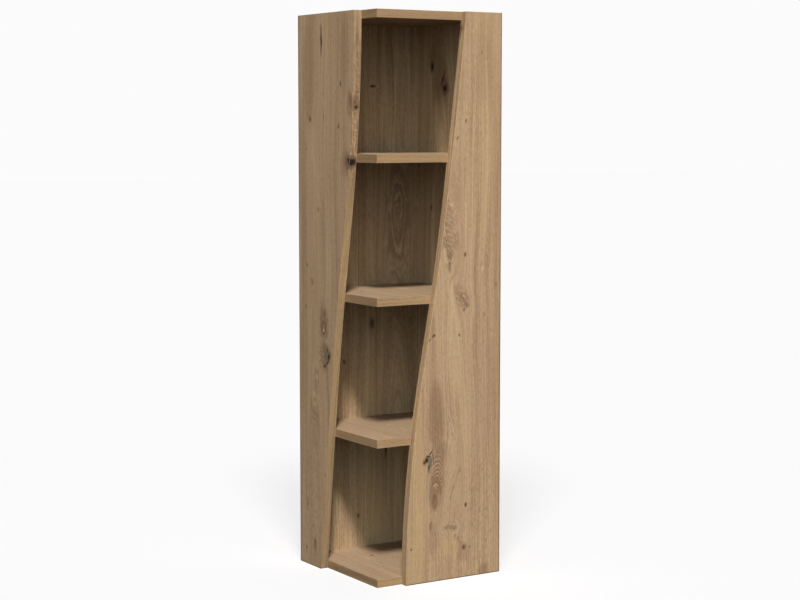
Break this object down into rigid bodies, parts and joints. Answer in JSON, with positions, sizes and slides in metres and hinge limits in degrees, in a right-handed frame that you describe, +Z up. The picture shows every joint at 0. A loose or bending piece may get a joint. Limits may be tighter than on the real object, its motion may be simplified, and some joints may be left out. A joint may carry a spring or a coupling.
{
  "type": "corner cabinet",
  "caption": "Tall open corner shelf tower on a square plan, with square shelves, full back panels and two front panels with opposed S-curved edges, in knotty oak-effect board.",
  "frame": {"origin": "on the floor, under the middle of the square plan", "axes": "+Z up; the open corner points to -X -Y, and the two wall sides face +X and +Y"},
  "size_m": [0.348, 0.348, 1.32],
  "materials": {
    "oak_board": "matte melamine with knotty oak grain",
    "oak_edging": "matte edge banding with oak grain",
    "zinc_steel": "bright zinc plated",
    "zinc_cam": "die-cast zinc",
    "beech": "raw fluted beech",
    "cap_plastic": "matte moulded plastic"
  },
  "bodies": {
    "root": {"back_panel_left": "oak_board", "back_panel_left_edging_top": "oak_edging", "back_panel_right": "oak_board", "back_panel_right_edging_rear": "oak_edging", "back_panel_right_edging_top": "oak_edging", "bottom_board": "oak_board", "bottom_board_edging_left": "oak_edging", "bottom_board_edging_right": "oak_edging", "cam_bolts": "zinc_steel", "cam_cover_caps": "cap_plastic", "cam_discs": "zinc_cam", "connecting_screws": "zinc_steel", "front_panel_left": "oak_board", "front_panel_left_edging_curved": "oak_edging", "front_panel_left_edging_outer": "oak_edging", "front_panel_left_edging_top": "oak_edging", "front_panel_right": "oak_board", "front_panel_right_edging_curved": "oak_edging", "front_panel_right_edging_outer": "oak_edging", "front_panel_right_edging_top": "oak_edging", "screw_cover_caps": "cap_plastic", "shelf_lower": "oak_board", "shelf_lower_edging_left": "oak_edging", "shelf_lower_edging_right": "oak_edging", "shelf_middle": "oak_board", "shelf_middle_edging_left": "oak_edging", "shelf_middle_edging_right": "oak_edging", "shelf_upper": "oak_board", "shelf_upper_edging_left": "oak_edging", "shelf_upper_edging_right": "oak_edging", "top_board": "oak_board", "top_board_edging_left": "oak_edging", "top_board_edging_right": "oak_edging", "wood_dowels": "beech"}
  },
  "joints": []
}
